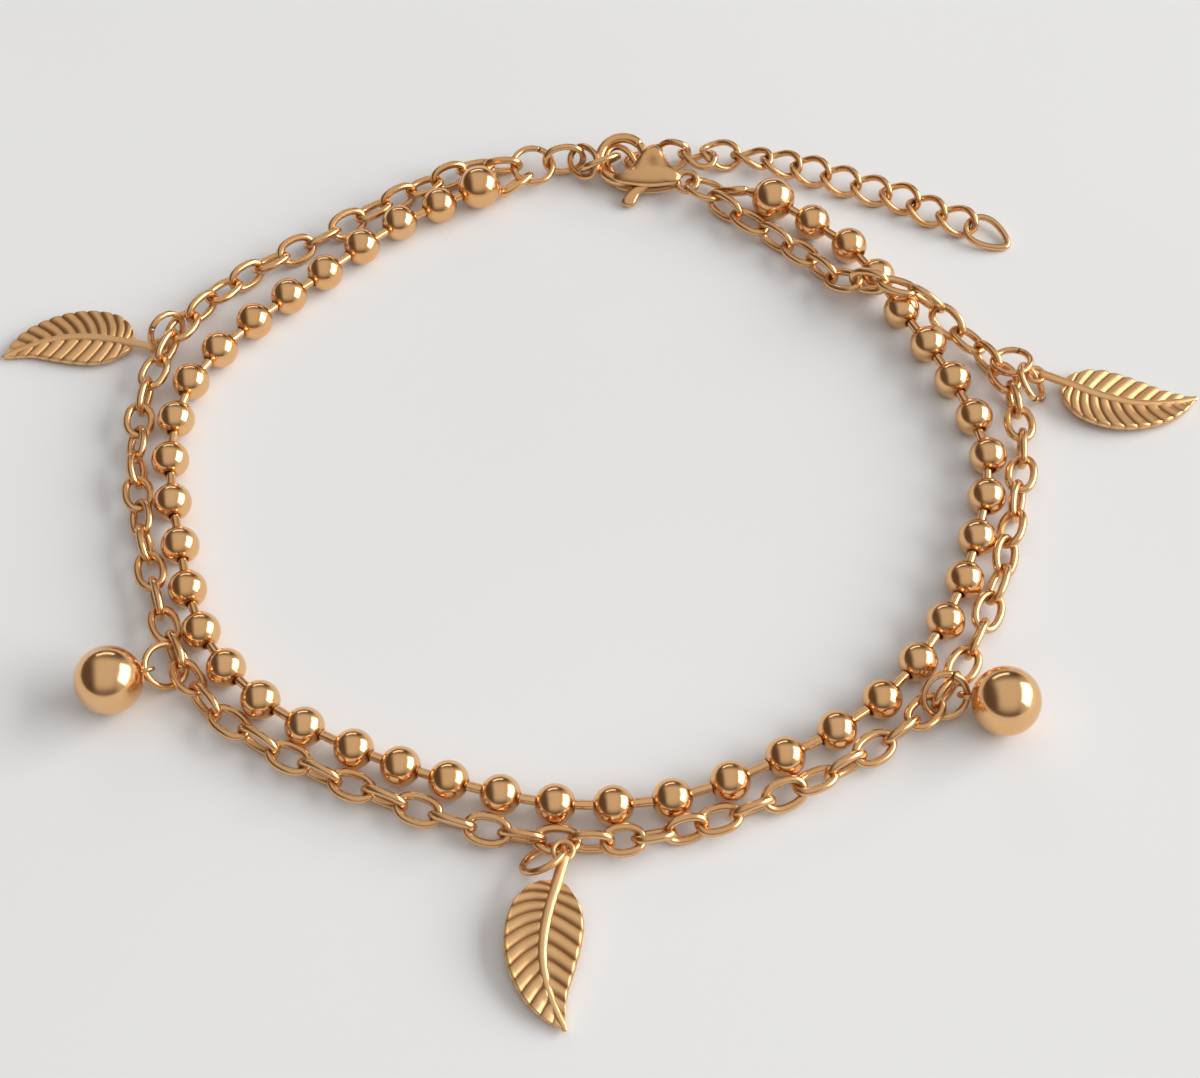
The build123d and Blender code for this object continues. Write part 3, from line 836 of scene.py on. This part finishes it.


def half_blade(edge, ribs, ahead, bow, roundness, scallop, rim):
    """Top and back grids of half a blade, from the vein to one edge.

    Row u starts at share u ** ahead[0] of the vein and ends at share u ** ahead[1] of the edge. The
    top rises by |sin(pi * ribs * u)| ** roundness, so each rib is round with a groove beside it.
    """
    u = np.linspace(0, 1, ribs * RIB_ROWS + 1)
    s = np.linspace(0, 1, RIB_COLUMNS)[None, :]
    shares = np.linspace(0, 1, SAMPLES)
    vein, outline = through(STEM[2:], SAMPLES), through(edge, SAMPLES)
    at_vein = np.stack([np.interp(u ** ahead[0], shares, vein[:, axis]) for axis in (0, 1)], -1)
    at_edge = np.stack([np.interp(u ** ahead[1], shares, outline[:, axis]) for axis in (0, 1)], -1)
    wave = (np.abs(np.sin(np.pi * ribs * u)) ** roundness)[:, None]
    size = np.linalg.norm(at_edge - at_vein, axis=1)[:, None]
    width = ramp(size, 0, FULL_WIDTH)
    flat = at_vein[:, None] + (at_edge - at_vein)[:, None] * s[..., None]
    flat[..., 0] += bow * size * np.sin(np.pi * s)
    lobes = (wave - LOBE_LEVEL) * scallop * width * ramp(s, 0.6, 1)
    flat += unit(at_edge - at_vein)[:, None] * lobes[..., None]
    near_vein, near_edge = ramp(s, 0, 0.12), ramp(s, 1, 0.92)
    inside = ramp(s, 1, 0.96) ** 0.5
    rise = RIB_RISE * wave * width * near_vein * near_edge**0.5
    body = TOP_AT + VEIN_RISE * (1 - s) + RIM_RISE * rim * ramp(s, 0.45, 0.95)
    lip = LIP_RISE * rim * width * np.exp(-(((s - LIP_AT) / LIP_WIDTH) ** 2))
    top = EDGE_AT * (1 - inside) + (body + rise + lip) * inside
    back = EDGE_AT * (1 - inside) + BACK_AT * inside - BACK_RISE * wave * width * near_edge
    # Shade is painted into the grooves beside the ribs, and less of it on the back.
    groove = (1 - wave) * near_vein * np.maximum(ramp(s, 1, 0.94), 0.2) * width
    grids = []
    for height, nook in ((top, groove), (back, BACK_GROOVE_SHADE * groove)):
        height = np.broadcast_to(height, flat.shape[:2])
        grids.append((np.concatenate((flat, height[..., None]), -1), np.clip(nook, 0, 1)))
    return grids


# %% [markdown]
# The two grids of a half blade share their outer edge: the back is turned over and
# joined on to the top there, so each half is one closed skin from vein to vein.


# %% One leaf
STEM_ROWS = 60
STEM_AT, STEM_ARCH, STEM_FALL = 0.15, 0.14, 0.08  # height, arch and fall towards the tip
STEM_RADIUS, STEM_TAPER, STEM_FLATNESS = 0.47, 0.2, 0.68
LEAF_EYE, LEAF_EYE_RADIUS = 0.82, 0.24  # of the eye's middle line and of its wire


def leaf(place):
    """Stem, eye and two ribbed half blades, laid in their place.

    The stem's radius falls by STEM_TAPER as the square of the way to the tip.
    """
    surfaces = []
    for half in HALVES:
        (top, top_nook), (back, back_nook) = half_blade(*half)
        skin = np.concatenate((top, back[:, ::-1]), axis=1)
        nook = np.concatenate((top_nook, back_nook[:, ::-1]), axis=1)
        surfaces.append((laid(skin, place), False, True, nook))
    share = np.linspace(0, 1, STEM_ROWS)
    height = STEM_AT + STEM_ARCH * np.sin(np.pi * share) - STEM_FALL * share
    path = np.column_stack((through(STEM, STEM_ROWS), height))
    path, radius = rounded(path, STEM_RADIUS - STEM_TAPER * share**2)
    up = axes_at(place)[2]
    stem = wire(laid(path, place), radius, 20, closed=False, normal=up, squash=STEM_FLATNESS)
    surfaces.append((stem, False, True, 0.0))
    eye = laid(arc(LEAF_EYE, turns_of(48)), place)
    # The eye's nook of 0.15 paints a little shade all over it.
    surfaces.append((wire(eye, LEAF_EYE_RADIUS, 14), True, True, 0.15))
    return surfaces


LEAVES = [
    ("leaf_left", (-41.5, 23.15, 0.85, 181, -1.3, 0)),
    ("leaf_front", (-3.8, -33.3, 2.15, -91, -6.2, 0)),
    ("leaf_right", (41.75, 15.6, 1.15, -12, -2.4, 0)),
]
for name, place in LEAVES:
    make_piece(name + "_look", leaf(place), LEAF_METAL, [name])

# %% [markdown]
# ## Lobster clasp
# The clasp is cast in one piece with its hook and its eye. Its body is two cheeks with
# a slot between them, in which the lever turns. A cheek is a dome over an outline: the
# outline shrinks to its middle, and the height follows a rounded profile as it does.

# %% Domes over an outline
CLASP_PLACE = (3.84, 43.94, 2.1, -14, 0, 22)
HOOK_CENTRE, HOOK_RADIUS = (-0.15, 0.45), 2.28
DOME_ROWS, FLOOR_ROWS = 22, 3  # rows of a dome and of its flat floor


def closed_curve(points, count):
    """Smooth closed curve through a ring of points."""
    points = np.array(points, float)
    ring = np.concatenate((points[-3:], points, points[:3]))
    length = np.concatenate(((0,), np.cumsum(np.linalg.norm(np.diff(ring, axis=0), axis=1))))
    start, end = length[3], length[3 + len(points)]
    at = start + (end - start) * np.linspace(0, 1, count, endpoint=False)
    return on_curve(np.column_stack((length, ring)), at)


def dome(outline, middle, low, high, power=1.9, dimple=None):
    """Skin between two heights over a closed outline, with a flat floor at the low one.

    Row t runs from the middle, t = 0, to the outline, t = 1; its height is
    low + (high - low) * (1 - t ** power) ** (1 / power). A dimple (where, reach, depth) is
    pressed in as a bell curve.
    """
    t = np.sin(np.linspace(0, np.pi / 2, DOME_ROWS))[:, None, None]
    flat = middle + (outline - middle)[None] * t
    height = low + (high - low) * (1 - t[..., 0] ** power) ** (1 / power)
    height = np.broadcast_to(height, flat.shape[:2]).copy()
    if dimple is not None:
        (x, y), reach, depth = dimple
        away = np.hypot(flat[..., 0] - x, flat[..., 1] - y) / reach
        height -= depth * np.exp(-(away**2)) * np.sign(high - low)
    floor_t = np.linspace(1, 0, FLOOR_ROWS + 1)[1:, None, None]
    flat = np.concatenate((flat, middle + (outline - middle)[None] * floor_t))
    height = np.concatenate((height, np.full((FLOOR_ROWS, len(outline)), low)))
    return np.concatenate((flat, height[..., None]), -1)


# %% Clasp body
CHEEK = [
    (-0.75, -1.75),
    (0.2, -1.25),
    (0.85, -0.55),
    (1.3, 0.3),
    (1.7, 1.3),
    (2.25, 2.15),
    (2.9, 2.4),
    (3.5, 2.1),
    (4.15, 1.2),
    (4.9, 0.4),
    (5.65, -0.1),
    (6.15, -0.75),
    (5.85, -1.5),
    (4.8, -1.95),
    (3.3, -2.35),
    (1.3, -2.5),
    (-0.3, -2.3),
]
CHEEK_MIDDLE = np.array((2.9, -0.5))
UPPER_WIDTH, LOWER_WIDTH = (1.0, 0.95), (1.0, 1.12)  # of each cheek, beside the outline
CLASP_TOP, SLOT_TOP, SLOT_FLOOR, CLASP_BACK = 1.34, 0.46, -0.40, -0.92
PIN_HEAD = (3.05, 0.5)
DIMPLE = (PIN_HEAD, 0.8, 0.30)
around = closed_curve(CHEEK, 120) - CHEEK_MIDDLE
upper_outline = CHEEK_MIDDLE + around * UPPER_WIDTH
lower_outline = CHEEK_MIDDLE + around * LOWER_WIDTH
upper_cheek = dome(upper_outline, CHEEK_MIDDLE, SLOT_TOP, CLASP_TOP, dimple=DIMPLE)
lower_cheek = dome(lower_outline, CHEEK_MIDDLE, SLOT_FLOOR, CLASP_BACK)

HOOK_START, HOOK_END, HOOK_ROWS = 58, 292, 64
HOOK_WIRE, HOOK_SWELL = 0.51, 0.02  # radius at the tip, and what it gains along the hook
ROOT_SWELL, ROOT_FROM = 0.25, 0.58  # what it gains at the root, and where that begins
hook_path = arc(HOOK_RADIUS, np.radians(np.linspace(HOOK_START, HOOK_END, HOOK_ROWS)), HOOK_CENTRE)
hook_share = np.linspace(0, 1, HOOK_ROWS)
to_root = ramp(hook_share, ROOT_FROM, 1) ** 1.4
hook_radius = HOOK_WIRE + HOOK_SWELL * hook_share + ROOT_SWELL * to_root
hook_path, hook_radius = rounded(hook_path, hook_radius, 6)
hook = wire(hook_path, hook_radius, 22, closed=False, normal=(0, 0, 1))

CLASP_EYE, CLASP_EYE_AT, CLASP_EYE_RADIUS = 1.0, (6.75, -0.95), 0.34
eye = wire(arc(CLASP_EYE, turns_of(48), CLASP_EYE_AT), CLASP_EYE_RADIUS, 18)

# Solid metal between the cheeks, before the eye and where the hook grows out.
FILLING = 0.6  # half of its height
BRIDGE = [
    (4.85, 0.2),
    (5.5, 0.1),
    (5.95, -0.5),
    (5.95, -1.3),
    (5.4, -1.65),
    (4.9, -1.5),
    (4.75, -0.6),
]
ROOT = [
    (-0.6, -1.75),
    (0.15, -1.35),
    (0.75, -0.85),
    (1.3, -1.2),
    (1.15, -1.9),
    (0.9, -2.3),
    (-0.3, -2.2),
]


def filling(outline, middle):
    """Block with rounded edges that reaches from inside one cheek to inside the other."""
    return dome(closed_curve(outline, 48), np.array(middle), -FILLING, FILLING, power=4)


bridge, root = filling(BRIDGE, (5.35, -0.65)), filling(ROOT, (0.45, -1.7))

# Shade is painted through the nook: into the slot's floors, round the pin's head, over the metal
# between the cheeks, and a little on the eye.
PIN_SHADE, SHADE_REACH = 0.6, 0.5
floor_nook = np.concatenate((np.zeros(DOME_ROWS), np.ones(FLOOR_ROWS)))[:, None]
from_pin = np.linalg.norm(upper_cheek[..., :2] - PIN_HEAD, axis=-1)
upper_nook = np.maximum(floor_nook, PIN_SHADE * np.exp(-((from_pin / SHADE_REACH) ** 2)))
clasp_surfaces = [
    (laid(upper_cheek, CLASP_PLACE), False, True, upper_nook),
    (laid(lower_cheek, CLASP_PLACE), False, True, floor_nook),
    (laid(bridge, CLASP_PLACE), False, True, 0.3),
    (laid(root, CLASP_PLACE), False, True, 0.3),
    (laid(hook, CLASP_PLACE), False, True, 0.0),
    (laid(eye, CLASP_PLACE), True, True, 0.1),
]
make_piece("clasp_body_look", clasp_surfaces, CLASP_METAL, ["clasp_body"])

# %% [markdown]
# ## Lever
# The lever is one small part: a curved gate that closes the hook, a round boss on the
# pin, and a tab for the thumb that comes out of the slot at the front. The gate is a
# thick wire bent round the hook's centre; the boss and tab are two domes over one
# outline, which shrinks to a line along the middle of the tab.

# %% Lever with its gate and thumb tab
GATE_START, GATE_END, GATE_AT, GATE_RADIUS = 4, 46, 2.25, 0.45
gate_path = arc(GATE_AT, np.radians(np.linspace(GATE_START, GATE_END, 24)), HOOK_CENTRE)
gate_path, gate_radius = rounded(gate_path, GATE_RADIUS, 4)
gate = wire(gate_path, gate_radius, 18, closed=False, normal=(0, 0, 1))
TAB = [
    (2.45, 1.1),
    (2.4, 0.4),
    (2.5, -0.6),
    (2.1, -1.7),
    (1.35, -2.6),
    (0.85, -3.4),
    (0.62, -4.05),
    (0.8, -4.38),
    (1.6, -4.5),
    (1.98, -4.25),
    (2.35, -3.1),
    (3.1, -2.1),
    (3.65, -1.0),
    (4.0, 0.2),
    (3.7, 1.0),
    (3.1, 1.25),
]
TAB_MIDDLE = [(3.2, 0.5), (3.0, -1.0), (2.2, -2.4), (1.5, -3.6)]
TAB_TOP, TAB_BACK, TAB_ROUND = 0.42, -0.38, 2.6
tab_outline = closed_curve(TAB, 96)
tab_line = through(TAB_MIDDLE, 60)
to_line = np.linalg.norm(tab_outline[:, None] - tab_line[None], axis=-1)
tab_spine = tab_line[to_line.argmin(axis=1)]
tab_top = dome(tab_outline, tab_spine, 0.0, TAB_TOP, TAB_ROUND)[:-FLOOR_ROWS]
tab_back = dome(tab_outline, tab_spine, 0.0, TAB_BACK, TAB_ROUND)[:-FLOOR_ROWS]
lever_surfaces = [
    (laid(gate, CLASP_PLACE), False, True, 0.0),
    (laid(tab_top, CLASP_PLACE), False, True, 0.0),
    (laid(tab_back, CLASP_PLACE), False, True, 0.0),
]
make_piece("clasp_lever_look", lever_surfaces, CLASP_METAL, ["clasp_lever"], "lever")

# %% [markdown]
# ## Pin
# The pin that the lever turns on is a plain rod, right as it comes from the frame. It
# only needs its metal.

# %% Pin of the lever
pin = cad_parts["clasp_pin"]
pin.data.materials.clear()
pin.data.materials.append(PIN_METAL)

# %% [markdown]
# ## Floor and light
# Polished metal shows its surroundings more than itself. A pale floor gives each ball
# its light crescent below, a dim ceiling the tan field in its middle, the window at the
# right its bright edge, and the dark walls the brown between them. The room is pale at
# its horizon, so that a low view still has a pale background.

# %% Floor
FLOOR_REACH, FLOOR_LUMPS = 4.0, 9.0  # in metres, and lumps of its cloudy colour a metre
PALE, PALER = (0.84, 0.866, 0.89, 1), (0.87, 0.898, 0.924, 1)
floor_mesh = bpy.data.meshes.new("floor")
corner_signs = ((-1, -1), (1, -1), (1, 1), (-1, 1))
floor_corners = [(x * FLOOR_REACH, y * FLOOR_REACH, 0) for x, y in corner_signs]
floor_mesh.from_pydata(floor_corners, [], [(0, 1, 2, 3)])
floor = bpy.data.objects.new("floor", floor_mesh)
bpy.context.scene.collection.objects.link(floor)
floor_shader = Shader(bpy.data.materials.new("pale_floor"))
cloud = floor_shader.noise(FLOOR_LUMPS)
floor_colour = floor_shader.mix(cloud.step(0.3, 0.75), PALE, PALER)
floor_surface = floor_shader.add(
    "ShaderNodeBsdfPrincipled",
    sockets={"Base Color": floor_colour, "Roughness": 0.8, "Specular IOR Level": 0.1},
)
floor_shader.add("ShaderNodeOutputMaterial", sockets={"Surface": floor_surface})
floor_mesh.materials.append(floor_shader.owner)


# %% Soft panels
PANEL_TINT = (1.0, 0.98, 0.95)


def panel(name, at, size, strength):
    """Rectangular lamp aimed at the middle; its strength is how bright its face looks."""
    data = bpy.data.lights.new(name, "AREA")
    data.shape = "RECTANGLE"
    data.size, data.size_y = size
    data.energy = strength * np.pi * size[0] * size[1]
    data.color = PANEL_TINT
    lamp = bpy.data.objects.new(name, data)
    lamp.location = at
    aim = Vector((0, 0, 0)) - Vector(at)
    lamp.rotation_euler = aim.to_track_quat("-Z", "Y").to_euler()
    bpy.context.scene.collection.objects.link(lamp)
    print("panel", name, round(data.energy, 2), "W")


panel("panel_right", (1.97, 0.10, 0.98), (2.4, 1.3), 5.5)
panel("panel_back", (-0.36, 2.40, 1.02), (1.8, 0.3), 2.4)

# %% Room
DARK_WALL, LIGHT_WALL = (0.07, 0.035, 0.018, 1), (1.0, 0.985, 0.965, 1)
DIM, CEILING, WINDOW, OVERHEAD, HORIZON = 0.05, 0.55, 0.45, 0.05, 0.80  # how bright each is
world = bpy.data.worlds.new("room")
bpy.context.scene.world = world
room = Shader(world)
way = room.add("ShaderNodeTexCoord", output=0)
split = {"Vector": way}
x, y, z = (room.add("ShaderNodeSeparateXYZ", sockets=split, output=axis) for axis in "XYZ")
from_middle = x.maths("ABSOLUTE", x)
ceiling = (1 - from_middle.step(0.36, 0.74)) * z.step(0.12, 0.7) * (1 - y.step(0.55, 0.9))
window, overhead = x.step(0.4, 0.75), z.step(0.5, 1.0)
walls = DIM + CEILING * ceiling + WINDOW * window + OVERHEAD * overhead
pale = 1 - z.step(0.03, 0.13)
brightness = walls + (HORIZON - walls) * pale
light = room.mix(brightness, DARK_WALL, LIGHT_WALL)
background = room.add("ShaderNodeBackground", sockets={"Color": light, "Strength": 1.0})
room.add("ShaderNodeOutputWorld", sockets={"Surface": background})

# %% Finish
bpy.context.scene.view_settings.view_transform = "Standard"
